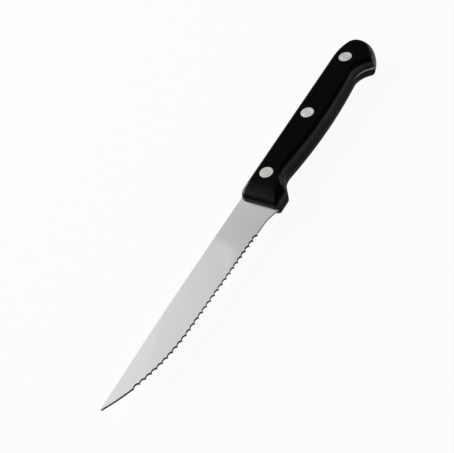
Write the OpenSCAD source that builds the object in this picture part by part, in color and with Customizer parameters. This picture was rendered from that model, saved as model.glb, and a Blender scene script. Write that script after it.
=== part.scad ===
// Steak knife: a stamped steel blade whose full tang lies between two moulded
// handle scales, held together by three two-piece compression rivets.
// The knife lies on its right scale: tip towards -X, spine towards +Y.

/* [Blade] */
// Length from the front of the handle to the tip
blade_length = 109; // [90:1:130]
// Thickness of the steel at the spine and in the tang
blade_thickness = 0.9; // [0.8:0.1:1.6]
// Thickness left behind the cutting edge by the flat grind
edge_thickness = 0.4; // [0.3:0.05:0.6]
// Thickness of the tip, to which the blade tapers
tip_thickness = 0.45; // [0.35:0.05:0.6]
// Length of blade over which it tapers to the tip
taper_length = 47; // [30:1:60]
// Height of the blade at the handle, from the spine to the line of the teeth
heel_height = 17.8; // [16:0.1:20]
// Angle at which the cutting edge climbs from the heel towards the tip
edge_rise = 2.25; // [1:0.25:4]
// Radius of the belly that sweeps the edge up to the tip
belly_radius = 87; // [75:1:130]
// How far the spine falls by the tip
spine_drop = 0.8; // [0.5:0.1:3]
// Length of spine over which it falls
spine_drop_length = 64; // [40:1:80]
// Height of the blunt end of the tip
tip_width = 0.75; // [0.5:0.05:1.2]
// Where the flat grind starts to run out at the spine, ahead of the handle
grind_runout = 26; // [20:0.5:32]
// Angle at which the run-out leans towards the tip, from the spine down
runout_lean = 40; // [25:1:50]
// Radius of the grinding wheel that leaves the run-out
wheel_radius = 250; // [150:10:300]

/* [Serration] */
// Distance between neighbouring teeth
tooth_pitch = 2.95; // [2.5:0.05:4]
// Depth of the first scallop at the handle, below the points of its teeth
heel_tooth_depth = 1.2; // [0.6:0.05:1.3]
// Depth of the last scallop at the tip
tip_tooth_depth = 0.95; // [0.6:0.05:1.3]
// Plain edge between the handle and the first tooth
heel_plain = 14.75; // [12:0.25:20]
// How far the plain edge at the handle lies inside the line of the teeth
heel_step = 0.9; // [0.5:0.05:1.2]
// Length of the slope from that plain edge out to the first tooth
heel_step_length = 1.2; // [0.8:0.1:2]
// Least plain edge between the last tooth and the tip
tip_plain = 12.5; // [8:0.5:20]
// How far the plain edge at the tip lies inside the line of the teeth
tip_step = 0.15; // [0.1:0.05:0.5]
// Angle between each ground bevel and the middle plane of the blade
bevel_angle = 25; // [18:1:40]

/* [Heel] */
// How far the heel drops below the line of the teeth, to the finger guard
heel_flare = 1.4; // [0.8:0.1:2]
// Where the heel starts to curve down, ahead of the handle
flare_start = 8.5; // [6:0.5:9]
// Radius of the curve down to the heel
flare_radius = 21; // [14:1:24]

/* [Handle] */
// Length of the handle
handle_length = 101.9; // [90:0.1:120]
// Thickness of each scale
scale_thickness = 5.35; // [4:0.05:7]
// Straight wall of a scale beside the tang, below its rounding
scale_wall = 0.2; // [0.1:0.1:1]
// Inset of the flat outer face from the sides of the handle
side_round = 2.6; // [1.5:0.1:3.5]
// Inset of the flat outer face from the front of the handle
front_round = 8; // [4:0.5:9]
// Radius of the upper front corner
front_top_radius = 3; // [1.5:0.5:5]
// Radius of the lower front corner, at the finger guard
front_low_radius = 4.4; // [2:0.2:6]
// Length of the finger guard along its bottom
guard_length = 8.4; // [7:0.2:10]
// Radius behind the finger guard
guard_radius = 2.6; // [1.5:0.1:4]
// Height of the handle at the neck behind the finger guard
neck_height = 12.6; // [11:0.2:14]
// Distance of the neck from the front of the handle
neck_setback = 17.4; // [15:0.2:20]
// Radius of the hollow at the neck
neck_radius = 10.3; // [6:0.1:14]
// Height of the handle at the corner of its belly
belly_height = 16.9; // [15.5:0.1:19]
// Radius of the belly of the handle
grip_radius = 250; // [150:10:280]

/* [Pommel] */
// Height of the handle in the hook ahead of the beak
hook_height = 14.3; // [13:0.1:15.5]
// Distance of the hook from the butt
hook_setback = 17.2; // [15.5:0.1:20]
// Radius of the hook
hook_radius = 9.2; // [6:0.2:12]
// Height of the handle at the point of the beak
beak_height = 20.3; // [19:0.1:23]
// Distance of the beak from the butt
beak_setback = 12.7; // [11:0.1:14]
// Radius at the point of the beak
beak_radius = 1.3; // [0.6:0.1:2.2]
// Where the back bends down, ahead of the butt
back_setback = 9.7; // [7:0.1:12]
// Radius of the bend in the back
back_radius = 27; // [14:0.5:36]
// Fall from the back to the corner of the butt
butt_fall = 4.1; // [3:0.1:6]
// Radius at the corner of the butt
butt_radius = 6.4; // [4.5:0.1:10]
// Height of the lower end of the butt
butt_height = 16.9; // [15:0.1:18.5]
// Lean of the butt towards the front at its lower end
butt_lean = 2; // [0:0.1:4]
// Radius at the lower end of the butt
butt_low_radius = 12.5; // [7:0.5:15]

/* [Rivets] */
// Diameter of the visible heads
head_diameter = 6; // [5:0.1:7]
// Thickness of the heads
head_thickness = 1.6; // [1:0.1:2.5]
// Outer diameter of the sleeve
sleeve_diameter = 4; // [3.4:0.1:4.6]
// Diameter of the pin
pin_diameter = 2.6; // [2:0.1:3]
// Chamfer at the end of the pin
pin_chamfer = 0.3; // [0.1:0.1:0.6]
// Distance of the front rivet from the front of the handle
front_rivet_setback = 13.7; // [12:0.1:18]
// Depth of the front rivet below the back
front_rivet_depth = 6.9; // [6:0.1:7.5]
// Distance of the rear rivet from the butt
rear_rivet_setback = 14; // [12:0.1:18]
// Depth of the rear rivet below the back
rear_rivet_depth = 7.4; // [6:0.1:8.5]
// Radial clearance of a rivet in the handle
rivet_clearance = 0.05; // [0.02:0.01:0.1]
// Radial clearance of a pin in its sleeve
pin_clearance = 0.02; // [0.01:0.01:0.05]
// Gap left between the ends of the two halves of a rivet
closing_gap = 0.3; // [0.1:0.1:0.6]

/* [Hidden] */
$fn = 64;

// Reach of a cutter past the surface that it cuts
spare = 1;
// Largest turn and largest length of one step along a rounded corner
arc_turn = 8;
arc_length = 4;
// Steps in the rounding of a scale, along the fall of the spine and along the belly
round_steps = 6;
spine_steps = 8;
belly_steps = 16;
// Smallest radius that a corner keeps as the rounding draws it in
least_radius = 1.2;
// Share of an edge that its two corners may use up
edge_share = 0.98;
// Least fall of the flat outer face from the neck to the guard
guard_step = 0.5;
// Turn by which the cut along the plain edge runs on past the tip
tip_overrun = 10;

handle_thickness = blade_thickness + 2 * scale_thickness;
guard_height = heel_height + heel_flare;
round_depth = scale_thickness - scale_wall;
guard_round = min(front_round, guard_height - neck_height + side_round - guard_step);

// Cutting edge: straight from the heel, then the belly up to the tip
edge_way = [-cos(edge_rise), sin(edge_rise)];
edge_inward = [sin(edge_rise), cos(edge_rise)];
heel = [0, -heel_height];
tip = [-blade_length, -spine_drop - tip_width];
plain_radius = belly_radius - tip_step;
tip_along = (tip - heel) * edge_way;
tip_inward = (tip - heel) * edge_inward;
belly_start = tip_along - sqrt(pow(plain_radius, 2) - pow(belly_radius - tip_inward, 2));
belly_center = heel + belly_start * edge_way + belly_radius * edge_inward;
tip_turn = atan2(tip_along - belly_start, belly_radius - tip_inward);
edge_length = belly_start + belly_radius * tip_turn * PI / 180;

// Scallops lie between the points of the teeth, from the first point to the last
scallop_count = floor((edge_length - heel_plain - tip_plain) / tooth_pitch);
teeth_end = heel_plain + scallop_count * tooth_pitch;
// Deepest scallop, and steel left outside the line of the teeth as far as its center
deepest = max(heel_tooth_depth, tip_tooth_depth);
stock = scallop_radius(deepest) - deepest;

// Fall of the spine as an arc that starts level and ends at the blunt end of the tip
spine_radius = (pow(spine_drop_length, 2) + pow(spine_drop, 2)) / (2 * spine_drop);
tip_setback = tip_width * tan(edge_rise + tip_turn);
spine_turn = asin((spine_drop_length - tip_setback) / spine_radius);

grind_angle = atan((blade_thickness - edge_thickness) / 2 / heel_height);
taper_angle = atan((blade_thickness - tip_thickness) / 2 / taper_length);
// Reach of the flat cutters to every side of the place where they start
flat_reach = blade_length + heel_height;

// Half height of the cutters that bevel the edge, and how far their bevel reaches
cut_height = blade_thickness / 2 + spare;
cut_bevel = cut_height / tan(bevel_angle);

front_rivet = [front_rivet_setback, -front_rivet_depth];
rear_rivet = [handle_length - rear_rivet_setback, -rear_rivet_depth];
middle_rivet = (front_rivet + rear_rivet) / 2;
rivet_spots = [front_rivet, middle_rivet, rear_rivet];

// Corners of the handle, clockwise from the upper front one: place, radius,
// and inset of the flat outer face along the edge that leaves the corner
function handle_corners(butt) = [
    [0, 0, front_top_radius, side_round],
    [butt - back_setback, 0, back_radius, side_round],
    [butt, -butt_fall, butt_radius, side_round],
    [butt - butt_lean, -butt_height, butt_low_radius, side_round],
    [butt - beak_setback, -beak_height, beak_radius, side_round],
    [butt - hook_setback, -hook_height, hook_radius, side_round],
    [middle_rivet.x, -belly_height, grip_radius, side_round],
    [neck_setback, -neck_height, neck_radius, side_round],
    [guard_length, -guard_height, guard_radius, guard_round],
    [0, -guard_height, front_low_radius, front_round]
];
// Place of the belly in that list
belly_corner = 6;

function turned(v, angle) = [
    v.x * cos(angle) - v.y * sin(angle),
    v.x * sin(angle) + v.y * cos(angle)
];

// Arc at each corner of the outline, drawn in by a share of each edge's inset
function corner_arcs(corners, share) = let (
    n = len(corners),
    place = [for (c = corners) [c[0], c[1]]],
    way = [for (i = [0 : n - 1]) let (v = place[(i + 1) % n] - place[i]) v / norm(v)],
    inward = [for (w = way) [w.y, -w.x]],
    inset = [for (c = corners) share * c[3]],
    before = [for (i = [0 : n - 1]) (i + n - 1) % n],
    cross = [for (i = [0 : n - 1]) let (a = before[i])
        inward[a].x * inward[i].y - inward[a].y * inward[i].x],
    moved = [for (i = [0 : n - 1]) let (a = before[i]) place[i] + [
        inset[a] * inward[i].y - inset[i] * inward[a].y,
        inset[i] * inward[a].x - inset[a] * inward[i].x
    ] / cross[i]],
    side = [for (i = [0 : n - 1]) cross[i] < 0 ? 1 : -1],
    turn = [for (i = [0 : n - 1]) acos(way[before[i]] * way[i])],
    wanted = [for (i = [0 : n - 1]) let (r = corners[i][2])
        max(r - side[i] * (inset[before[i]] + inset[i]) / 2, min(r, least_radius))],
    reach = [for (i = [0 : n - 1]) wanted[i] * tan(turn[i] / 2)],
    room = [for (i = [0 : n - 1]) let (b = (i + 1) % n)
        min(1, edge_share * norm(moved[b] - moved[i]) / (reach[i] + reach[b]))],
    fit = [for (i = [0 : n - 1]) min(room[i], room[before[i]])]
) [for (i = [0 : n - 1]) let (
    a = before[i],
    radius = wanted[i] * fit[i],
    start = moved[i] - reach[i] * fit[i] * way[a],
    center = start + side[i] * radius * inward[a],
    steps = max(2, ceil(turn[i] / arc_turn), ceil(corners[i][2] * turn[i] * PI / 180 / arc_length))
) [for (k = [0 : steps]) center + turned(start - center, -side[i] * turn[i] * k / steps)]];

// All points of a list of arcs
function joined(arcs) = [for (arc = arcs) for (p = arc) p];

// The corner of the butt overhangs its arc, so it is moved until the arc ends the handle
butt_reach = max([for (p = joined(corner_arcs(handle_corners(handle_length), 0))) p.x]);
corners = handle_corners(2 * handle_length - butt_reach);
handle_arcs = corner_arcs(corners, 0);
box_middle = [
    (handle_length - blade_length) / 2,
    min([for (p = joined(handle_arcs)) p.y]) / 2
];

// Direction out of the blade at a distance along the edge, as an angle from -Y
function edge_turn(s) = edge_rise + max(0, s - belly_start) / belly_radius * 180 / PI;
function edge_outward(s) = [-sin(edge_turn(s)), -cos(edge_turn(s))];
function edge_point(s) = s < belly_start
    ? heel + s * edge_way
    : belly_center + belly_radius * edge_outward(s);

// Scallops get shallower from the handle to the tip
function scallop_depth(i) =
    heel_tooth_depth + (tip_tooth_depth - heel_tooth_depth) * i / (scallop_count - 1);
function scallop_radius(depth) = (pow(tooth_pitch / 2, 2) + pow(depth, 2)) / (2 * depth);

function spine_point(share) = [
    spine_drop_length - blade_length - spine_radius * sin(spine_turn * share),
    -spine_radius * (1 - cos(spine_turn * share))
];

// Puts the knife on its right scale with the origin under the middle of its box
module laid_down() {
    translate([-box_middle.x, -box_middle.y, handle_thickness / 2])
        children();
}

// Moves 2D shapes to the line of the teeth: +X towards the tip, +Y into the blade
module on_edge_line() {
    translate(heel)
        multmatrix([
            [edge_way.x, edge_inward.x, 0, 0],
            [edge_way.y, edge_inward.y, 0, 0],
            [0, 0, 1, 0],
            [0, 0, 0, 1]
        ])
            children();
}

// Blank before the teeth are cut: tang without the front corners, heel, edge and spine
module steel_blank() {
    polygon(concat(
        [for (i = [1 : len(corners) - 2]) for (p = handle_arcs[i]) p],
        [[edge_point(heel_plain).x, -guard_height]],
        [for (i = [0 : belly_steps])
            let (s = heel_plain + (edge_length - heel_plain) * i / belly_steps)
            edge_point(s) + stock * edge_outward(s)],
        [for (i = [spine_steps : -1 : 0]) spine_point(i / spine_steps)]
    ));
}

// Space under the plain edge at the handle, with the curve down to the heel
module heel_relief() {
    on_edge_line() {
        polygon([
            [flare_start, -guard_height],
            [flare_start, heel_step],
            [heel_plain - heel_step_length, heel_step],
            [heel_plain, 0],
            [heel_plain, -guard_height]
        ]);
        translate([flare_start, heel_step - flare_radius])
            circle(flare_radius, $fn = 128);
    }
}

// Flat steel with its outline, before grinding
module steel_plate() {
    translate([0, 0, -blade_thickness / 2])
        linear_extrude(blade_thickness)
            difference() {
                steel_blank();
                heel_relief();
            }
}

// Flat cutter on the tip's side of a line across the blade
module flat_cut() {
    translate([-flat_reach, -flat_reach, 0])
        cube([flat_reach, 2 * flat_reach, blade_thickness]);
}

// One side of the flat grind, with the wheel's run-out ahead of the handle
module grind_cut() {
    translate([-grind_runout, 0, blade_thickness / 2])
        rotate([grind_angle, 0, 0])
            rotate([0, 0, -runout_lean]) {
                flat_cut();
                translate([0, -flat_reach, wheel_radius])
                    rotate([-90, 0, 0])
                        cylinder(h = 2 * flat_reach, r = wheel_radius, $fn = 256);
            }
}

// One side of the taper towards the tip
module taper_cut() {
    translate([taper_length - blade_length, 0, blade_thickness / 2])
        rotate([0, -taper_angle, 0])
            flat_cut();
}

// Double cone that leaves one scallop with a bevel on both faces, counted from the handle
module scallop_cut(i) {
    s = heel_plain + (i + 0.5) * tooth_pitch;
    depth = scallop_depth(i);
    radius = scallop_radius(depth);
    translate(edge_point(s) + (radius - depth) * edge_outward(s))
        for (flip = [0, 1])
            mirror([0, 0, flip])
                cylinder(h = cut_height, r1 = radius, r2 = radius + cut_bevel);
}

// Space outside the plain edge at the tip, bevelled on both faces
module tip_cut() {
    outside = belly_radius + heel_height;
    past_tip = edge_rise + tip_turn + tip_overrun;
    translate(belly_center)
        rotate([0, 0, 270 - past_tip])
            rotate_extrude(angle = past_tip - edge_turn(teeth_end), $fn = 256)
                polygon([
                    [plain_radius, 0],
                    [plain_radius - cut_bevel, cut_height],
                    [outside, cut_height],
                    [outside, -cut_height],
                    [plain_radius - cut_bevel, -cut_height]
                ]);
}

// One scale on the middle plane, from its flat inner face to its flat outer face
module scale_body() {
    levels = concat([[0, 0]], [for (i = [0 : round_steps]) let (a = 90 * i / round_steps)
        [1 - cos(a), scale_wall + round_depth * sin(a)]]);
    rings = [for (l = levels) [for (p = joined(corner_arcs(corners, l[0]))) [p.x, p.y, l[1]]]];
    n = len(rings[0]);
    last = (len(levels) - 1) * n;
    // The flat faces are split between the ends of the back and the middle of the belly
    back_start = len(handle_arcs[0]) - 1;
    back_end = back_start + 1;
    belly = len(joined([for (i = [0 : belly_corner - 1]) handle_arcs[i]]))
        + floor(len(handle_arcs[belly_corner]) / 2);
    flat = [
        [for (i = [back_end : belly]) i],
        [back_start, back_end, belly],
        concat([back_start], [for (i = [belly : n + back_start - 1]) i % n])
    ];
    polyhedron(
        points = [for (ring = rings) for (p = ring) p],
        faces = concat(
            [for (face = flat) let (m = len(face)) [for (i = [0 : m - 1]) face[(m - i) % m]]],
            [for (low = [0 : n : last - n]) for (i = [0 : n - 1]) let (b = (i + 1) % n)
                [low + i, low + b, low + n + b]],
            [for (low = [0 : n : last - n]) for (i = [0 : n - 1]) let (b = (i + 1) % n)
                [low + i, low + n + b, low + n + i]],
            [for (face = flat) [for (i = face) last + i]]
        ),
        convexity = 6
    );
}

// Holes of the rivets, to both sides of the plane that they are drawn on
module rivet_holes(length) {
    for (spot = rivet_spots)
        translate([spot.x, spot.y, -length])
            cylinder(h = 2 * length, d = sleeve_diameter + 2 * rivet_clearance);
}

// Seats of the rivet heads in the outer face of a scale
module head_seats() {
    for (spot = rivet_spots)
        translate([spot.x, spot.y, scale_thickness - head_thickness])
            cylinder(h = head_thickness + spare, d = head_diameter + 2 * rivet_clearance);
}

// One drilled scale on its side of the tang
module handle_scale() {
    translate([0, 0, blade_thickness / 2])
        difference() {
            scale_body();
            rivet_holes(scale_thickness + spare);
            head_seats();
        }
}

// Half with a solid shank, its head flush with the left scale
module rivet_pin(spot) {
    seat = handle_thickness / 2 - head_thickness;
    shank_end = -seat + 2 * closing_gap;
    color("gainsboro")
        laid_down()
            translate(spot)
                rotate_extrude()
                    polygon([
                        [0, shank_end],
                        [pin_diameter / 2 - pin_chamfer, shank_end],
                        [pin_diameter / 2, shank_end + pin_chamfer],
                        [pin_diameter / 2, seat],
                        [head_diameter / 2, seat],
                        [head_diameter / 2, handle_thickness / 2],
                        [0, handle_thickness / 2]
                    ]);
}

// Half with a hollow shank, its head flush with the right scale
module rivet_sleeve(spot) {
    seat = handle_thickness / 2 - head_thickness;
    bore = pin_diameter / 2 + pin_clearance;
    color("silver")
        laid_down()
            translate(spot)
                rotate_extrude()
                    polygon([
                        [0, -handle_thickness / 2],
                        [head_diameter / 2, -handle_thickness / 2],
                        [head_diameter / 2, -seat],
                        [sleeve_diameter / 2, -seat],
                        [sleeve_diameter / 2, seat - closing_gap],
                        [bore, seat - closing_gap],
                        [bore, closing_gap - seat],
                        [0, closing_gap - seat]
                    ]);
}

module blade_and_tang() {
    color("lightgray")
        laid_down()
            difference() {
                steel_plate();
                for (flip = [0, 1])
                    mirror([0, 0, flip]) {
                        grind_cut();
                        taper_cut();
                    }
                for (i = [0 : scallop_count - 1])
                    scallop_cut(i);
                tip_cut();
                rivet_holes(blade_thickness);
            }
}

module left_handle_scale() {
    color("#141414")
        laid_down()
            handle_scale();
}

module right_handle_scale() {
    color("#1c1c1c")
        laid_down()
            mirror([0, 0, 1])
                handle_scale();
}

module front_rivet_pin() { rivet_pin(front_rivet); }
module front_rivet_sleeve() { rivet_sleeve(front_rivet); }
module middle_rivet_pin() { rivet_pin(middle_rivet); }
module middle_rivet_sleeve() { rivet_sleeve(middle_rivet); }
module rear_rivet_pin() { rivet_pin(rear_rivet); }
module rear_rivet_sleeve() { rivet_sleeve(rear_rivet); }

blade_and_tang();
left_handle_scale();
right_handle_scale();
front_rivet_pin();
front_rivet_sleeve();
middle_rivet_pin();
middle_rivet_sleeve();
rear_rivet_pin();
rear_rivet_sleeve();
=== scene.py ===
"""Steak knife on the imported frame: serrated steel, moulded scales and turned rivets."""
import math

import bpy
import numpy as np
from mathutils import Matrix, Vector
from mathutils.geometry import delaunay_2d_cdt


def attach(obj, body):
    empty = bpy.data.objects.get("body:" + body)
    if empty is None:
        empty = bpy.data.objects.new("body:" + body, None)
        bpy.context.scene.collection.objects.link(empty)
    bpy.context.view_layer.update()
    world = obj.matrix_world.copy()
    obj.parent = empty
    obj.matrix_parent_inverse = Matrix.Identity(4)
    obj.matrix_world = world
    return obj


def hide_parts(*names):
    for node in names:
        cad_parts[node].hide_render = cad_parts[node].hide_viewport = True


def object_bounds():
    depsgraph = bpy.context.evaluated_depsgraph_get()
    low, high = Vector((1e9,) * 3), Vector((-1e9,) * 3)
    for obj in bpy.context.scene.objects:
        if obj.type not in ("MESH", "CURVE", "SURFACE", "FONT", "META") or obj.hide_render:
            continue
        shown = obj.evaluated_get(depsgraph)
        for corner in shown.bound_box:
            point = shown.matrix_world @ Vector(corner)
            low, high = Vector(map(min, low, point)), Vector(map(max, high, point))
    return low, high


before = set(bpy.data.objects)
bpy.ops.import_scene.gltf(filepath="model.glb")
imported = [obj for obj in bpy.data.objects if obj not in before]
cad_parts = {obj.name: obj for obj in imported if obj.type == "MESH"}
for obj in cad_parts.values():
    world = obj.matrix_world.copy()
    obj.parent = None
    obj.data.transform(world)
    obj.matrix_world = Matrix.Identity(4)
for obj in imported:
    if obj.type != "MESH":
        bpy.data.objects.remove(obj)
cad_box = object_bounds()

MM = 0.001

# Sizes of the knife in mm, in its own frame: x from the front of the handle towards the butt,
# y from the cutting edge towards the spine, with 0 at the spine, and z from the middle plane

# Blade, and the thickness of the sheet, of its ground edge and of its tip
BLADE_LENGTH, STEEL, EDGE_STEEL, TIP_STEEL = 109.0, 0.9, 0.4, 0.45
# Straight edge that rises from the heel, then an arc up to the tip
HEEL_HEIGHT, EDGE_RISE, BELLY_RADIUS = 17.8, math.radians(2.25), 87.0
# Spine that drops to the tip, taper of the sheet in front, and height of the tip's end
SPINE_DROP, SPINE_DROP_LENGTH, TAPER_LENGTH, TIP_WIDTH = 0.8, 64.0, 47.0, 0.75
# Flat grind, which runs out on a round wheel before the handle
GRIND_RUNOUT, RUNOUT_LEAN, WHEEL_RADIUS = 26.0, math.radians(40.0), 250.0
# Teeth, and the plain edge behind and in front of them
TOOTH_PITCH, TOOTH_DEPTH, TIP_TOOTH_DEPTH = 2.95, 1.2, 0.95
HEEL_PLAIN, TIP_PLAIN = 14.75, 12.5
# Steps from the points of the teeth to the plain edge
HEEL_STEP, HEEL_STEP_LENGTH, TIP_STEP, TIP_STEP_LENGTH = 0.9, 1.2, 0.15, 0.6
# Ground bevels: widths from the heel to the tip and at the plain edge, and how far the
# slanted wheel shifts them towards the handle
HEEL_BEVEL, TIP_BEVEL, PLAIN_BEVEL, BEVEL_SHIFT = 0.46, 0.58, 0.64, 0.3
# Curve of the plain edge down to the guard
HEEL_FLARE, FLARE_START, FLARE_RADIUS = 1.4, 8.5, 21.0
# Handle, thickness of a scale, and the upright wall under its rounding
HANDLE_LENGTH, SCALE, SCALE_WALL = 101.9, 5.35, 0.2
# How far the rounding draws in the sides, the front end and the guard
SIDE_ROUND, FRONT_ROUND, GUARD_ROUND = 2.6, 8.0, 5.0
# Height of the handle behind the guard, and the least radius of a corner that is drawn in
NECK_HEIGHT, LEAST_RADIUS = 12.6, 1.2
# Rivets: a pin in a sleeve, each with a head
HEAD_DIAMETER, HEAD_THICKNESS, SLEEVE_DIAMETER, PIN_DIAMETER = 6.0, 1.6, 4.0, 2.6
RIVET_CLEARANCE, PIN_CLEARANCE, CLOSING_GAP, PIN_CHAMFER = 0.05, 0.02, 0.3, 0.3
FRONT_RIVET, REAR_RIVET = (13.7, -6.9), (HANDLE_LENGTH - 14.0, -7.4)
MIDDLE_RIVET = tuple((a + b) / 2 for a, b in zip(FRONT_RIVET, REAR_RIVET))
RIVETS = (FRONT_RIVET, MIDDLE_RIVET, REAR_RIVET)

THICKNESS = STEEL + 2 * SCALE
GUARD_HEIGHT = HEEL_HEIGHT + HEEL_FLARE
# From the knife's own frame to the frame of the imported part
SHIFT = np.array([cad_box[0][0] / MM + BLADE_LENGTH, cad_box[1][1] / MM, THICKNESS / 2])


# Meshes

def make_piece(name, verts, faces, slot, nodes, materials, kinds=None, normals=None, sharp=None):
    """A piece from vertices in mm, with corner normals or with sharp edges over an angle."""
    mesh = bpy.data.meshes.new(name)
    mesh.from_pydata([tuple((v + SHIFT) * MM) for v in np.asarray(verts, float)], [], faces)
    mesh.polygons.foreach_set("use_smooth", [True] * len(mesh.polygons))
    if sharp is not None:
        mesh.set_sharp_from_angle(angle=math.radians(sharp))
    if normals is not None:
        mesh.normals_split_custom_set([tuple(n) for n in normals])
    for material in materials:
        mesh.materials.append(material)
    if kinds is not None:
        mesh.polygons.foreach_set("material_index", kinds)
    mesh.update()
    piece = bpy.data.objects.new(name, mesh)
    bpy.context.scene.collection.objects.link(piece)
    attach(piece, "root")
    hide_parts(*nodes)


def unit(v):
    length = np.linalg.norm(v, axis=-1, keepdims=True)
    return v / np.where(length > 1e-12, length, 1)


# Handle outline

# Share of an edge that its two corners may take, and the steps of a corner's arc:
# the fewest, the largest turn and the largest length
CORNER_SHARE = 0.98
LEAST_STEPS, STEP_TURN, STEP_LENGTH = 6, math.radians(3.0), 1.5


def handle_corners(butt):
    """Corners clockwise from the upper front one: x, y, radius, inset along the next edge."""
    s = SIDE_ROUND
    return [
        (0.0, 0.0, 3.0, s),
        (butt - 9.7, 0.0, 27.0, s),
        (butt, -4.1, 6.4, s),
        (butt - 2.0, -16.9, 12.5, s),
        (butt - 12.7, -20.3, 1.3, s),
        (butt - 17.2, -14.3, 9.2, s),
        (MIDDLE_RIVET[0], -16.9, 250.0, s),
        (17.4, -NECK_HEIGHT, 10.3, s),
        (8.4, -GUARD_HEIGHT, 2.6, GUARD_ROUND),
        (0.0, -GUARD_HEIGHT, 2.4, FRONT_ROUND),
    ]


def corner_arcs(corners, insets):
    """Points of the rounded corners after each edge is drawn in by its inset."""
    place = np.array([c[:2] for c in corners])
    radius = np.array([c[2] for c in corners])
    insets = np.broadcast_to(np.asarray(insets, float), len(corners))
    way = unit(np.roll(place, -1, axis=0) - place)
    inward = np.stack([way[:, 1], -way[:, 0]], axis=1)
    last_in, last_inset = np.roll(inward, 1, axis=0), np.roll(insets, 1)
    cross = last_in[:, 0] * inward[:, 1] - last_in[:, 1] * inward[:, 0]
    moved = place + np.stack([
        last_inset * inward[:, 1] - insets * last_in[:, 1],
        insets * last_in[:, 0] - last_inset * inward[:, 0],
    ], axis=1) / cross[:, None]
    side = np.where(cross < 0, 1.0, -1.0)
    last_way = np.roll(way, 1, axis=0)
    turn = np.arccos(np.clip((last_way * way).sum(1), -1, 1))
    drawn_in = radius - side * (last_inset + insets) / 2
    wanted = np.maximum(drawn_in, np.minimum(radius, LEAST_RADIUS))
    reach = wanted * np.tan(turn / 2)
    edge = np.linalg.norm(np.roll(moved, -1, axis=0) - moved, axis=1)
    room = np.minimum(1, CORNER_SHARE * edge / (reach + np.roll(reach, -1)))
    fit = np.minimum(room, np.roll(room, 1))
    arcs = []
    for i in range(len(corners)):
        r = wanted[i] * fit[i]
        start = moved[i] - reach[i] * fit[i] * last_way[i]
        center = start + side[i] * r * last_in[i]
        by_turn = math.ceil(turn[i] / STEP_TURN)
        by_length = math.ceil(radius[i] * turn[i] / STEP_LENGTH)
        steps = max(LEAST_STEPS, by_turn, by_length)
        a = -side[i] * turn[i] * np.arange(steps + 1) / steps
        d = start - center
        arcs.append(center + np.stack([
            d[0] * np.cos(a) - d[1] * np.sin(a),
            d[0] * np.sin(a) + d[1] * np.cos(a),
        ], axis=1))
    return arcs


# The rounded butt stays short of its corners, so they move out until it reaches the length
REACH = np.concatenate(corner_arcs(handle_corners(HANDLE_LENGTH), 0))[:, 0].max()
CORNERS = handle_corners(2 * HANDLE_LENGTH - REACH)
INSETS = np.array([c[3] for c in CORNERS])


def outline(share, extra=0.0):
    """Outline of a scale, drawn in by a share of each edge's inset and by the same all round."""
    return np.concatenate(corner_arcs(CORNERS, INSETS * share + extra))


# Handle scales

ROUND_STEPS, CIRCLE_STEPS = 28, 96
# Broken corner of a scale along the tang
SEAM = 0.05
# Options of Blender's triangulation: keep what lies inside the outer loop, merge distance
INSIDE_ONLY, MERGE_DISTANCE = 1, 1e-7


def circle(spot, radius):
    a = -2 * np.pi * np.arange(CIRCLE_STEPS) / CIRCLE_STEPS
    return np.stack([spot[0] + radius * np.cos(a), spot[1] + radius * np.sin(a)], axis=1)


def at_height(points, z):
    return np.column_stack([points, np.full(len(points), z)])


def cap_triangles(verts, loops, way):
    """Triangles between an outer loop and its holes in one level plane, facing +z or -z."""
    flat = [i for loop in loops for i in loop]
    owner = [k for k, loop in enumerate(loops) for _ in loop]
    edges, start = [], 0
    for loop in loops:
        edges += [(start + k, start + (k + 1) % len(loop)) for k in range(len(loop))]
        start += len(loop)
    points = [Vector(verts[i][:2]) for i in flat]
    result = delaunay_2d_cdt(points, edges, [], INSIDE_ONLY, MERGE_DISTANCE)
    triangles, origins = result[2:4]
    tris = []
    for tri in triangles:
        corners = [origins[i][0] for i in tri]
        # Three corners on the same hole lie across it
        touched = {owner[i] for i in corners}
        if touched == {0} or len(touched) > 1:
            a, b, c = (points[i] for i in corners)
            turned = (b - a).cross(c - a) * way < 0
            tris.append([flat[i] for i in (corners[::-1] if turned else corners)])
    return tris


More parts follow.
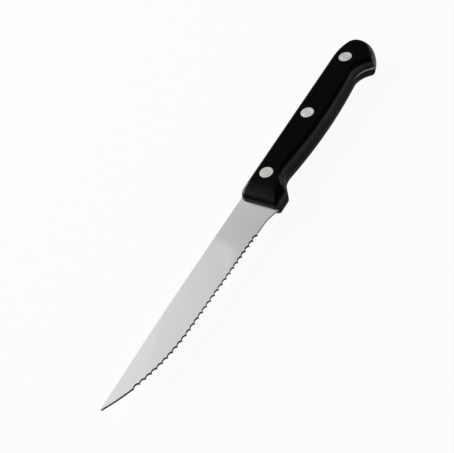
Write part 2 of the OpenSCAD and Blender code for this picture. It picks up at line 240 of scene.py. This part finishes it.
def scale_mesh(side):
    """Closed scale with drilled and counterbored rivet holes, on the +z or the -z side."""
    base = STEEL / 2
    wall, top = base + SCALE_WALL, base + SCALE
    levels = [(outline(0, SEAM), base), (outline(0), base + SEAM), (outline(0), wall)]
    for i in range(1, ROUND_STEPS + 1):
        a = math.pi / 2 * i / ROUND_STEPS
        rise = (SCALE - SCALE_WALL) * math.sin(a)
        levels.append((outline(1 - math.cos(a)), wall + rise))
    rings = np.stack([at_height(points, z) for points, z in levels])
    count, n = rings.shape[:2]
    # Normals of the rounded skin, level with the flat face along its border
    along = np.roll(rings, -1, axis=1) - np.roll(rings, 1, axis=1)
    up = np.empty_like(rings)
    up[2:-1] = rings[3:] - rings[1:-2]
    up[2] = up[1] = up[0] = (0, 0, 1)
    up[-1] = rings[-1] - rings[-2]
    skin = unit(np.cross(up, along))
    skin[-1] = (0, 0, 1)
    seam = unit(np.cross(rings[1] - rings[0], np.roll(rings[0], -1, axis=0) - rings[0]))
    verts = [p for ring in rings for p in ring]
    faces, normals = [], []

    def add(face, corner_normals):
        faces.append(face)
        normals.extend(corner_normals)

    for k in range(count - 1):
        for i in range(n):
            b = (i + 1) % n
            quad = [k * n + i, (k + 1) * n + i, (k + 1) * n + b, k * n + b]
            if k == 0:
                add(quad, [seam[i]] * 4)
            else:
                add(quad, [skin[k, i], skin[k + 1, i], skin[k + 1, b], skin[k, b]])
    # Rivet holes: rim at the outer face, seat of the head, bore, rim at the inner face
    seat = top - HEAD_THICKNESS
    head_r, bore_r = HEAD_DIAMETER / 2 + RIVET_CLEARANCE, SLEEVE_DIAMETER / 2 + RIVET_CLEARANCE
    out = at_height(circle((0, 0), 1), 0.0)
    holes = []
    for spot in RIVETS:
        start = len(verts)
        for r, z in ((head_r, top), (head_r, seat), (bore_r, seat), (bore_r, base)):
            verts.extend(at_height(circle(spot, r), z))
        for k, upright in ((0, False), (1, True), (2, False)):
            high = start + k * CIRCLE_STEPS
            low = high + CIRCLE_STEPS
            for i in range(CIRCLE_STEPS):
                b = (i + 1) % CIRCLE_STEPS
                quad = [high + i, low + i, low + b, high + b]
                add(quad, [(0, 0, 1)] * 4 if upright else [-out[i], -out[i], -out[b], -out[b]])
        holes.append(start)
    for way, first, level in ((1, (count - 1) * n, 0), (-1, 0, 3)):
        rims = [hole + level * CIRCLE_STEPS for hole in holes]
        loops = [list(range(first, first + n))]
        loops += [list(range(rim, rim + CIRCLE_STEPS)) for rim in rims]
        for tri in cap_triangles(verts, loops, way):
            add(tri, [(0, 0, way)] * 3)
    verts, normals = np.array(verts), np.array(normals, float)
    if side < 0:
        verts = verts * (1, 1, -1)
        mirrored, start = [], 0
        for face in faces:
            mirrored.extend((normals[start:start + len(face)] * (1, 1, -1))[::-1])
            start += len(face)
        normals, faces = np.array(mirrored), [face[::-1] for face in faces]
    return verts, faces, normals


# Steel

EDGE_WAY = np.array([-math.cos(EDGE_RISE), math.sin(EDGE_RISE)])
EDGE_IN = np.array([math.sin(EDGE_RISE), math.cos(EDGE_RISE)])
HEEL = np.array([0.0, -HEEL_HEIGHT])
TIP = np.array([-BLADE_LENGTH, -SPINE_DROP - TIP_WIDTH])
PLAIN_RADIUS = BELLY_RADIUS - TIP_STEP
TIP_ALONG, TIP_IN = (TIP - HEEL) @ EDGE_WAY, (TIP - HEEL) @ EDGE_IN
BELLY_START = TIP_ALONG - math.sqrt(PLAIN_RADIUS ** 2 - (BELLY_RADIUS - TIP_IN) ** 2)
BELLY_CENTER = HEEL + BELLY_START * EDGE_WAY + BELLY_RADIUS * EDGE_IN
TIP_TURN = math.atan2(TIP_ALONG - BELLY_START, BELLY_RADIUS - TIP_IN)
EDGE_LENGTH = BELLY_START + BELLY_RADIUS * TIP_TURN
TEETH = int((EDGE_LENGTH - HEEL_PLAIN - TIP_PLAIN) / TOOTH_PITCH)
TEETH_END = HEEL_PLAIN + TEETH * TOOTH_PITCH
SPINE_RADIUS = (SPINE_DROP_LENGTH ** 2 + SPINE_DROP ** 2) / (2 * SPINE_DROP)
GRIND = (STEEL - EDGE_STEEL) / 2 / HEEL_HEIGHT
# Finest flat along a ground edge, and the broken corners of the stamped outline
EDGE_FLAT, BROKEN = 0.012, 0.05


def edge_frame(s):
    """Point on the line of the teeth at a distance along it, and the way into the blade."""
    turn = EDGE_RISE + max(0.0, s - BELLY_START) / BELLY_RADIUS
    inward = np.array([math.sin(turn), math.cos(turn)])
    if s < BELLY_START:
        return HEEL + s * EDGE_WAY, inward
    return BELLY_CENTER - BELLY_RADIUS * inward, inward


# Scallops get shallower towards the tip: their centers, and the ways to the handle
SCALLOP_DEPTHS = np.linspace(TOOTH_DEPTH, TIP_TOOTH_DEPTH, TEETH)
SCALLOP_RADII = ((TOOTH_PITCH / 2) ** 2 + SCALLOP_DEPTHS ** 2) / (2 * SCALLOP_DEPTHS)
SCALLOP_BEVELS = np.linspace(HEEL_BEVEL, TIP_BEVEL, TEETH)
SCALLOPS, SCALLOP_WAYS = [], []
for _i in range(TEETH):
    _point, _inward = edge_frame(HEEL_PLAIN + (_i + 0.5) * TOOTH_PITCH)
    SCALLOPS.append(_point - (SCALLOP_RADII[_i] - SCALLOP_DEPTHS[_i]) * _inward)
    SCALLOP_WAYS.append((_inward[1], -_inward[0]))
SCALLOPS, SCALLOP_WAYS = np.array(SCALLOPS), np.array(SCALLOP_WAYS)


def spine_y(x):
    fall = BLADE_LENGTH - SPINE_DROP_LENGTH + x
    return math.sqrt(SPINE_RADIUS ** 2 - fall ** 2) - SPINE_RADIUS if fall < 0 else 0.0


def face_z(p):
    """Half thickness of the steel from the flat grind, its run-out and the taper to the tip."""
    half = STEEL / 2
    ground = half + p[1] * GRIND
    past = (p[0] + GRIND_RUNOUT) * math.cos(RUNOUT_LEAN) - p[1] * math.sin(RUNOUT_LEAN)
    if past >= WHEEL_RADIUS:
        return half
    if past > 0:
        ground += WHEEL_RADIUS - math.sqrt(WHEEL_RADIUS ** 2 - past ** 2)
    into_taper = max(0.0, TAPER_LENGTH - BLADE_LENGTH - p[0])
    taper = half - into_taper * (STEEL - TIP_STEEL) / 2 / TAPER_LENGTH
    return min(half, ground, taper)


def bevel_z(p, s):
    """Height of the ground bevel of the edge over the middle plane."""
    # Each scallop widens like a slanted cone: share of its height at which it meets the point
    v = p - SCALLOPS
    a = SCALLOP_BEVELS ** 2 - BEVEL_SHIFT ** 2
    b = SCALLOP_RADII * SCALLOP_BEVELS + BEVEL_SHIFT * (v * SCALLOP_WAYS).sum(1)
    c = (v * v).sum(1) - SCALLOP_RADII ** 2
    share = ((np.sqrt(np.maximum(b * b + a * c, 0)) - b) / a).min()
    if s >= TEETH_END:
        share = min(share, (PLAIN_RADIUS - np.linalg.norm(p - BELLY_CENTER)) / PLAIN_BEVEL)
    return share * face_z(p)


def heel_edge(x):
    """Lower outline of the plain steel between the handle and the teeth."""
    along = -x * math.cos(EDGE_RISE)
    y = -HEEL_HEIGHT + along * math.tan(EDGE_RISE) + HEEL_STEP / math.cos(EDGE_RISE)
    center = HEEL + FLARE_START * EDGE_WAY + (HEEL_STEP - FLARE_RADIUS) * EDGE_IN
    start = HEEL + FLARE_START * EDGE_WAY + HEEL_STEP * EDGE_IN
    if x > start[0]:
        y = center[1] + math.sqrt(FLARE_RADIUS ** 2 - (x - center[0]) ** 2)
    return max(y, -GUARD_HEIGHT)


# Rows of a section, and sections for each tooth, the heel's step and the plain edge at the tip
BEVEL_ROWS, FACE_ROWS = 5, 14
TOOTH_COLUMNS, STEP_COLUMNS, TIP_COLUMNS = 14, 9, 60
# Sections start inside the handle, and stand closer together from just in front of it
TANG_START, TANG_SPACING, FINE_START, FINE_SPACING, FINE_END_GAP = 5.0, 0.5, -1.0, 0.3, 0.2
# Sections turn square to the edge over this length in front of the handle
LEAN_START, LEAN_LENGTH = -3.0, 3.0
# More than the height of any section, and the share of it that a bevel may take
HIGHEST_SECTION, BEVEL_SHARE = 60.0, 0.8
HALVINGS = 50
# Corners of the tang's wall: from the guard past the butt to the back
WALL_CORNERS = slice(8, 0, -1)
# Finishes of the steel's faces
SATIN, GROUND, STAMPED = range(3)


def halve(limit, holds):
    """Last distance up to a limit at which a test holds, and the first at which it fails."""
    low, high = 0.0, limit
    for _ in range(HALVINGS):
        d = (low + high) / 2
        low, high = (d, high) if holds(d) else (low, d)
    return low, high


def column(edge, way, s):
    """Section of the left half from the cutting edge to the spine: rows of x, y, z."""

    def under_spine(d):
        x, y = edge + d * way
        return y < spine_y(x)

    def half_at(d):
        return face_z(edge + d * way)

    def ground_at(d):
        return half_at(d) if s is None else min(half_at(d), bevel_z(edge + d * way, s))

    span = halve(HIGHEST_SECTION, under_spine)[0]
    if s is None:
        width, rim = BROKEN, half_at(0) - BROKEN
    else:
        width = halve(span, lambda d: ground_at(d) < half_at(d))[1]
        rim = min(max(ground_at(0), EDGE_FLAT), half_at(0) - BROKEN)
    width = min(max(width, BROKEN / 2), span * BEVEL_SHARE)
    rows = [(0.0, 0.0), (0.0, rim)]
    for k in range(1, BEVEL_ROWS + 1):
        d = width * k / BEVEL_ROWS
        broken = rim + (half_at(d) - rim) * k / BEVEL_ROWS
        rows.append((d, broken if s is None else max(ground_at(d), rim)))
    end = max(span - BROKEN, (width + span) / 2)
    for k in range(1, FACE_ROWS + 1):
        d = width + (end - width) * k / FACE_ROWS
        rows.append((d, ground_at(d)))
    last = rows[-1][1]
    rows += [(span, max(last - BROKEN, last / 2)), (span, 0.0)]
    return [[*(edge + d * way), z] for d, z in rows]


def steel_columns():
    """Sections from inside the handle to the tip, and how many stand before the first tooth."""
    columns = []
    step_start = HEEL_PLAIN - HEEL_STEP_LENGTH
    point, inward = edge_frame(step_start)
    stop = (point + HEEL_STEP * inward)[0]
    for x in np.concatenate([np.arange(TANG_START, FINE_START, -TANG_SPACING),
                             np.arange(FINE_START, stop + FINE_END_GAP, -FINE_SPACING)]):
        lean = min(1.0, max(0.0, (LEAN_START - x) / LEAN_LENGTH))
        way = unit((1 - lean) * np.array([0.0, 1.0]) + lean * EDGE_IN)
        columns.append(column(np.array([x, heel_edge(x)]), way, None))
    plain = len(columns)
    for s in np.linspace(step_start, HEEL_PLAIN, STEP_COLUMNS)[:-1]:
        point, inward = edge_frame(s)
        step = HEEL_STEP * (HEEL_PLAIN - s) / HEEL_STEP_LENGTH
        columns.append(column(point + step * inward, inward, s))
    for s in np.linspace(HEEL_PLAIN, TEETH_END, TEETH * TOOTH_COLUMNS + 1):
        point, inward = edge_frame(s)
        tooth = min(TEETH - 1, int((s - HEEL_PLAIN) / TOOTH_PITCH + 1e-9))
        v = point - SCALLOPS[tooth]
        b = v @ inward
        d = -b + math.sqrt(max(0.0, b * b - (v @ v) + SCALLOP_RADII[tooth] ** 2))
        columns.append(column(point + d * inward, inward, s))
    for s in np.linspace(TEETH_END, EDGE_LENGTH, TIP_COLUMNS)[1:]:
        point, inward = edge_frame(s)
        step = TIP_STEP * min(1.0, (s - TEETH_END) / TIP_STEP_LENGTH)
        columns.append(column(point + step * inward, inward, s))
    return np.array(columns), plain


def steel_mesh():
    """Closed blade and drilled tang, with the finish of each face."""
    columns, plain = steel_columns()
    count, rows = columns.shape[:2]
    verts, faces, kinds = [], [], []

    def add(kind, *new):
        faces.extend(new)
        kinds.extend([kind] * len(new))

    upper = np.empty((count, rows), int)
    lower = np.empty((count, rows), int)
    for c in range(count):
        for r in range(rows):
            x, y, z = columns[c, r]
            upper[c, r] = lower[c, r] = len(verts)
            verts.append((x, y, z))
            if 0 < r < rows - 1:
                lower[c, r] = len(verts)
                verts.append((x, y, -z))
    foot, head = 1 + BEVEL_ROWS, rows - 3
    for c in range(count - 1):
        for r in range(rows - 1):
            bevel = GROUND if r < foot and c >= plain else STAMPED
            add(SATIN if foot <= r < head else bevel,
                [upper[c, r], upper[c, r + 1], upper[c + 1, r + 1], upper[c + 1, r]],
                [lower[c, r], lower[c + 1, r], lower[c + 1, r + 1], lower[c, r + 1]])
    # Closed at the tip
    add(STAMPED, list(upper[-1, ::-1]) + list(lower[-1, 1:-1]))

    def first_section(middle, wall, face):
        return upper[0, middle], upper[0, wall], upper[0, face], lower[0, wall], lower[0, face]

    # Walls of the tang, joined to the first section at both ends
    shown, drawn = corner_arcs(CORNERS, 0), corner_arcs(CORNERS, BROKEN)
    outer = np.concatenate([arc[::-1] for arc in shown[WALL_CORNERS]])
    inner = np.concatenate([arc[::-1] for arc in drawn[WALL_CORNERS]])
    half = STEEL / 2
    stations = [first_section(0, 1, foot)]
    for p, q in zip(outer, inner):
        stations.append(tuple(range(len(verts), len(verts) + 5)))
        verts += [(*p, 0), (*p, half - BROKEN), (*q, half), (*p, BROKEN - half), (*q, -half)]
    stations.append(first_section(rows - 1, rows - 2, head))
    for k, (a, b) in enumerate(zip(stations[:-1], stations[1:])):
        # The first section's broken corner has several rows
        inner_up = [upper[0, r] for r in range(foot - 1, 1, -1)] if k == 0 else []
        inner_low = [lower[0, r] for r in range(2, foot)] if k == 0 else []
        add(STAMPED, [a[0], b[0], b[1], a[1]], [a[1], b[1], b[2], a[2]] + inner_up,
            [a[0], a[3], b[3], b[0]], [a[3]] + inner_low + [a[4], b[4], b[3]])
    # Flat faces of the tang, with the holes of the rivets
    left_loops = [[s[2] for s in stations] + [upper[0, r] for r in range(head - 1, foot, -1)]]
    right_loops = [[s[4] for s in stations] + [lower[0, r] for r in range(head - 1, foot, -1)]]
    for spot in RIVETS:
        left = len(verts)
        right = left + CIRCLE_STEPS
        ring = circle(spot, SLEEVE_DIAMETER / 2 + RIVET_CLEARANCE)
        verts += [(x, y, half) for x, y in ring] + [(x, y, -half) for x, y in ring]
        left_loops.append(list(range(left, right)))
        right_loops.append(list(range(right, right + CIRCLE_STEPS)))
        for i in range(CIRCLE_STEPS):
            b = (i + 1) % CIRCLE_STEPS
            add(STAMPED, [left + i, right + i, right + b, left + b])
    for way, loops in ((1, left_loops), (-1, right_loops)):
        add(STAMPED, *cap_triangles(verts, loops, way))
    return verts, faces, kinds


# Rivets

TOP = THICKNESS / 2
SEAT = TOP - HEAD_THICKNESS
# Broken rim of a head, with a middle point that rounds it
HEAD_BREAK, BREAK_MIDDLE = 0.1, 0.03
# Turned ring in a head's face: middle, half width and depth
RING_RADIUS, RING_HALF, RING_DEPTH = 1.94, 0.1, 0.045
# Rings of the mesh in the flat middle of the face
FACE_RADII = (0.9, 0.4, 0.0)


def turned_mesh(spot, profile):
    """Closed body of revolution from (radius, z) points that start and end on the axis."""
    verts = [np.array([*spot, profile[0][1]])]
    for r, z in profile[1:-1]:
        verts.extend(at_height(circle(spot, r), z))
    verts.append(np.array([*spot, profile[-1][1]]))
    last = len(verts) - 1
    end = last - CIRCLE_STEPS
    faces = []
    for i in range(CIRCLE_STEPS):
        b = (i + 1) % CIRCLE_STEPS
        faces.append([0, 1 + i, 1 + b])
        for first in range(1, end, CIRCLE_STEPS):
            second = first + CIRCLE_STEPS
            faces.append([first + i, second + i, second + b, first + b])
        faces.append([end + b, end + i, last])
    return np.array(verts), faces


def head_profile(shank):
    """Rivet head from its rim under the seat to the middle of its face: (radius, z)."""
    r = HEAD_DIAMETER / 2
    return [(shank, SEAT), (r, SEAT), (r, TOP - HEAD_BREAK),
            (r - BREAK_MIDDLE, TOP - BREAK_MIDDLE), (r - HEAD_BREAK, TOP),
            (RING_RADIUS + RING_HALF, TOP), (RING_RADIUS, TOP - RING_DEPTH),
            (RING_RADIUS - RING_HALF, TOP), *((radius, TOP) for radius in FACE_RADII)]


def pin_mesh(spot):
    end = -SEAT + 2 * CLOSING_GAP
    r = PIN_DIAMETER / 2
    shank = [(0, end), (r - PIN_CHAMFER, end), (r, end + PIN_CHAMFER)]
    return turned_mesh(spot, shank + head_profile(r))


def sleeve_mesh(spot):
    bore, r = PIN_DIAMETER / 2 + PIN_CLEARANCE, SLEEVE_DIAMETER / 2
    floor, mouth = SEAT - CLOSING_GAP, CLOSING_GAP - SEAT
    profile = [(0, floor), (bore, floor), (bore, mouth), (r, mouth)] + head_profile(r)
    verts, faces = turned_mesh(spot, profile)
    return verts * (1, 1, -1), [face[::-1] for face in faces]


# Materials

# Where the ground finish ends at the spine, its sweep towards the tip lower down, and its fade
FINISH_END, FINISH_SWEEP, FINISH_FADE = -22.5, 0.0002, 3.5
# The ground face darkens from here to the tip, and painted light makes the rolled one lighter
# towards the handle, against the handle's shade
TIP_DARKENING_START, PAINTED_LIGHT_START = -50.0, -10.0
# Where the painted shade on the tang's lower edge ends, its fade, and the height that it stays
# under
SHADE_END, SHADE_FADE, SHADE_TOP = 82.0, 3.0, -7.0
# Fade at the painted shade's top and at the front of the handle
SHORT_FADE = 1.0


def rgba(colour):
    """A colour from three numbers, or a neutral grey from one."""
    return (*colour, 1) if isinstance(colour, tuple) else (colour, colour, colour, 1)


class Shader:
    """A Principled material with helpers for its node links."""

    def __init__(self, name, **values):
        self.material = bpy.data.materials.new(name)
        self.material.use_nodes = True
        self.tree = self.material.node_tree
        self.out = self.tree.nodes["Principled BSDF"]
        for socket, value in values.items():
            self.out.inputs[socket].default_value = value

    def node(self, kind, links=None, **settings):
        """A node whose inputs are linked to sockets or set to plain values."""
        node = self.tree.nodes.new(kind)
        for key, value in settings.items():
            setattr(node, key, value)
        for socket, source in (links or {}).items():
            if isinstance(source, bpy.types.NodeSocket):
                self.tree.links.new(source, node.inputs[socket])
            else:
                node.inputs[socket].default_value = source
        return node

    def feed(self, socket, source):
        self.tree.links.new(source, self.out.inputs[socket])

    def place(self, **mapping):
        """Place on the part, in metres before the mapping."""
        part = self.node("ShaderNodeTexCoord").outputs["Object"]
        links = {"Vector": part, **mapping}
        return self.node("ShaderNodeMapping", links).outputs["Vector"]

    def knife_axes(self):
        """X, Y and Z in the knife's own frame, in mm."""
        knife = self.place(Location=tuple(-SHIFT), Scale=(1 / MM, 1 / MM, 1 / MM))
        return self.node("ShaderNodeSeparateXYZ", {"Vector": knife}).outputs

    def noise(self, stretch, scale, detail=3.0, roughness=0.5):
        return self.node("ShaderNodeTexNoise", {
            "Vector": self.place(Scale=stretch), "Scale": scale,
            "Detail": detail, "Roughness": roughness}).outputs["Fac"]

    def math(self, operation, *sources):
        links = dict(enumerate(sources))
        return self.node("ShaderNodeMath", links, operation=operation).outputs[0]

    def remap(self, value, low, high, from_low=0.0, from_high=1.0, form="LINEAR"):
        return self.node("ShaderNodeMapRange", {
            "Value": value, "From Min": from_low, "From Max": from_high,
            "To Min": low, "To Max": high}, interpolation_type=form).outputs["Result"]

    def blend(self, share, first, second):
        # Sockets 0, 6 and 7 of a Mix node are its share and its two colours
        links = {0: share, 6: first, 7: second}
        return self.node("ShaderNodeMix", links, data_type="RGBA").outputs[2]

    def tone(self, value, low, high):
        return self.blend(value, rgba(low), rgba(high))

    def bump(self, height, strength, distance):
        return self.node("ShaderNodeBump", {
            "Height": height, "Strength": strength, "Distance": distance}).outputs["Normal"]


def satin_steel():
    """Face of the blade: fine lines across it, duller where the flat grind has run out."""
    m = Shader("satin_steel", Metallic=1.0)
    lines = m.noise((9.0, 0.35, 1.0), 420.0, roughness=0.6)
    cloud = m.noise((1.0, 1.0, 1.0), 55.0, detail=2.0)
    axes = m.knife_axes()
    square = m.math("MULTIPLY", axes["Y"], axes["Y"])
    fourth = m.math("MULTIPLY", square, square)
    border = m.math("MULTIPLY_ADD", fourth, FINISH_SWEEP, axes["X"])
    plain = m.remap(
        border, 0.0, 1.0, FINISH_END - FINISH_FADE, FINISH_END + FINISH_FADE, "SMOOTHSTEP")
    ground, tip_tone = m.tone(lines, 0.85, 0.91), m.tone(lines, 0.77, 0.83)
    rolled, painted_light_tone = m.tone(lines, 0.75, 0.81), m.tone(lines, 0.8, 0.86)
    # The ground face blends into a darker tone towards the tip
    near_tip = m.remap(axes["X"], 1.0, 0.0, -BLADE_LENGTH, TIP_DARKENING_START)
    # Painted light: near the handle the rolled face blends into a lighter tone, standing in for
    # light that the handle's shade takes away
    near_handle = m.remap(axes["X"], 0.0, 1.0, PAINTED_LIGHT_START, 0.0)
    m.feed("Base Color", m.blend(
        plain, m.blend(near_tip, ground, tip_tone), m.blend(near_handle, rolled, painted_light_tone)))
    m.feed("Roughness", m.remap(cloud, 0.67, 0.73))
    m.feed("Normal", m.bump(lines, 0.12, 0.00002))
    return m.material


def ground_steel():
    """Bevels of the scallops and of the plain edge, left smoother by a fine wheel."""
    m = Shader("ground_steel", Metallic=1.0)
    lines = m.noise((6.0, 0.6, 0.6), 700.0, roughness=0.6)
    m.feed("Base Color", m.tone(lines, 0.6, 0.7))
    m.feed("Roughness", m.remap(lines, 0.27, 0.33))
    m.feed("Normal", m.bump(lines, 0.1, 0.00001))
    return m.material


def stamped_steel():
    """Edge of the sheet: painted shade along the belly, and a tone raised to paint light round
    the pommel, the back and the blade.
    """
    m = Shader("stamped_steel", Metallic=1.0)
    lines = m.noise((2.5, 2.5, 0.3), 900.0, roughness=0.6)
    axes = m.knife_axes()
    pommel = m.remap(axes["X"], 0.0, 1.0, SHADE_END - SHADE_FADE, SHADE_END + SHADE_FADE)
    spine = m.remap(axes["Y"], 0.0, 1.0, SHADE_TOP - SHORT_FADE, SHADE_TOP + SHORT_FADE)
    blade = m.remap(axes["X"], 1.0, 0.0, -SHORT_FADE, SHORT_FADE, "SMOOTHSTEP")
    bright = m.math("MAXIMUM", m.math("MAXIMUM", pommel, spine), blade)
    # Painted shade: a near-black tone along the tang's belly edge, and a raised tone that paints
    # light on the rest
    painted_shade, painted_light_tone = m.tone(lines, 0.04, 0.06), m.tone(lines, 0.84, 0.94)
    m.feed("Base Color", m.blend(bright, painted_shade, painted_light_tone))
    m.feed("Roughness", m.remap(lines, 0.5, 0.65))
    m.feed("Normal", m.bump(lines, 0.2, 0.00002))
    return m.material


def plastic_material():
    """Black moulded plastic with a fine grain and faint marks of the flow."""
    m = Shader("handle_plastic", IOR=1.48)
    grain = m.noise((1.0, 1.0, 1.0), 1800.0)
    flow = m.noise((0.4, 1.0, 1.0), 60.0)
    m.feed("Base Color", m.tone(flow, (0.001, 0.001, 0.0011), (0.0018, 0.0018, 0.002)))
    m.feed("Roughness", m.remap(flow, 0.22, 0.28))
    m.feed("Normal", m.bump(grain, 0.05, 0.00002))
    return m.material


def rivet_material():
    """Ground rivet metal, painted lighter behind the front rivet to stand in for light."""
    m = Shader("rivet_metal", Metallic=1.0)
    cloud = m.noise((1.0, 1.0, 1.0), 900.0)
    # Painted light: the middle and rear rivets get a lighter tone than the front one
    behind = m.remap(m.knife_axes()["X"], 0.0, 1.0, FRONT_RIVET[0], MIDDLE_RIVET[0])
    front_tone = m.tone(cloud, (0.82, 0.82, 0.79), (0.88, 0.88, 0.85))
    bright = m.tone(cloud, (0.93, 0.93, 0.92), (0.98, 0.98, 0.97))
    m.feed("Base Color", m.blend(behind, front_tone, bright))
    m.feed("Roughness", m.remap(cloud, 0.68, 0.74))
    m.feed("Normal", m.bump(cloud, 0.05, 0.00002))
    return m.material


# Pieces

# Angles in degrees over which an edge is shaded as sharp
STEEL_SHARP, RIVET_SHARP = 14, 20

steels = [satin_steel(), ground_steel(), stamped_steel()]
plastic, rivet = plastic_material(), rivet_material()

_verts, _faces, _kinds = steel_mesh()
make_piece("steel_blade", _verts, _faces, "blade_steel", ["blade_and_tang"], steels,
           kinds=_kinds, sharp=STEEL_SHARP)
for _name, _side in (("left_handle_scale", 1), ("right_handle_scale", -1)):
    _verts, _faces, _normals = scale_mesh(_side)
    make_piece(_name.replace("handle", "moulded"), _verts, _faces, "handle_plastic", [_name],
               [plastic], normals=_normals)
for _place, _spot in zip(("front", "middle", "rear"), RIVETS):
    for _half, _shape in (("pin", pin_mesh), ("sleeve", sleeve_mesh)):
        make_piece(f"{_place}_{_half}", *_shape(_spot), "rivet_metal",
                   [f"{_place}_rivet_{_half}"], [rivet], sharp=RIVET_SHARP)


# Camera

# Fitted to the photo: angles, and the place in the knife's own frame in mm
AZIMUTH, ELEVATION, ROLL = math.radians(-43.02), math.radians(47.03), math.radians(-21.65)
CAMERA = np.array([-222.17, -224.56, 327.07])

back = Vector((
    math.sin(AZIMUTH) * math.cos(ELEVATION),
    -math.cos(AZIMUTH) * math.cos(ELEVATION),
    math.sin(ELEVATION),
))
level = (-back).cross(Vector((0, 0, 1))).normalized()
upright = level.cross(-back)
right = math.cos(ROLL) * level + math.sin(ROLL) * upright
over = -math.sin(ROLL) * level + math.cos(ROLL) * upright
data = bpy.data.cameras.new("camera")
data.lens, data.sensor_width, data.sensor_fit = 85.0, 36.0, "HORIZONTAL"
data.clip_start, data.clip_end = 0.01, 50.0
camera = bpy.data.objects.new("camera", data)
bpy.context.scene.collection.objects.link(camera)
place = Vector((CAMERA + SHIFT) * MM)
camera.matrix_world = Matrix((
    (right.x, over.x, back.x, place.x),
    (right.y, over.y, back.y, place.y),
    (right.z, over.z, back.z, place.z),
    (0, 0, 0, 1),
))
bpy.context.scene.camera = camera


# Floor, world and lights

# Share of plain white in the floor, as the camera and as reflections see it
SEEN_WHITE, REFLECTED_WHITE = 0.95, 0.12
FLOOR_GREY, WORLD_GREY = 0.85, 0.025
# Half of the floor's side, and its gap under the knife, in metres
FLOOR_HALF, FLOOR_GAP = 4, 0.0002


def floor_material():
    """Pale floor that keeps the shadow under a share of white."""
    m = Shader("pale_floor")
    m.material.cycles.emission_sampling = "NONE"
    path = m.node("ShaderNodeLightPath").outputs
    other = m.math("MAXIMUM", path["Is Glossy Ray"], path["Is Transmission Ray"])
    weaker = m.math("MULTIPLY", other, REFLECTED_WHITE)
    share = m.math("MULTIPLY_ADD", path["Is Camera Ray"], SEEN_WHITE, weaker)
    diffuse = m.node("ShaderNodeBsdfDiffuse", {"Color": rgba(FLOOR_GREY)}).outputs[0]
    white = m.node("ShaderNodeEmission", {"Color": rgba(1), "Strength": 1.0}).outputs[0]
    mix = m.node("ShaderNodeMixShader", {0: share, 1: diffuse, 2: white}).outputs[0]
    m.tree.nodes.remove(m.out)
    m.tree.links.new(mix, m.tree.nodes["Material Output"].inputs["Surface"])
    return m.material


floor_mesh = bpy.data.meshes.new("floor")
floor_mesh.from_pydata([
    (-FLOOR_HALF, -FLOOR_HALF, 0), (FLOOR_HALF, -FLOOR_HALF, 0),
    (FLOOR_HALF, FLOOR_HALF, 0), (-FLOOR_HALF, FLOOR_HALF, 0),
], [], [[0, 1, 2, 3]])
floor_mesh.materials.append(floor_material())
floor = bpy.data.objects.new("floor", floor_mesh)
floor.location.z = -FLOOR_GAP
bpy.context.scene.collection.objects.link(floor)

world = bpy.data.worlds.new("studio")
bpy.context.scene.world = world
world.use_nodes = True
background = world.node_tree.nodes["Background"]
background.inputs["Color"].default_value = rgba(WORLD_GREY)
background.inputs["Strength"].default_value = 1.0


def softbox(name, way, distance, size, radiance):
    """A soft panel in a direction from the knife, sized in metres, facing the knife."""
    way = Vector(way).normalized()
    light = bpy.data.lights.new(name, "AREA")
    light.shape, light.size, light.size_y = "RECTANGLE", size[0], size[1]
    light.energy = radiance * math.pi * size[0] * size[1]
    panel = bpy.data.objects.new(name, light)
    panel.location = way * distance
    panel.rotation_euler = way.to_track_quat("Z", "Y").to_euler()
    bpy.context.scene.collection.objects.link(panel)


softbox("back_softbox", (-0.08, 0.88, 0.46), 1.4, (1.3, 0.8), 7.6)
softbox("right_softbox", (0.95, 0.0, 0.25), 1.4, (0.6, 0.5), 0.8)

bpy.context.scene.view_settings.view_transform = "Standard"
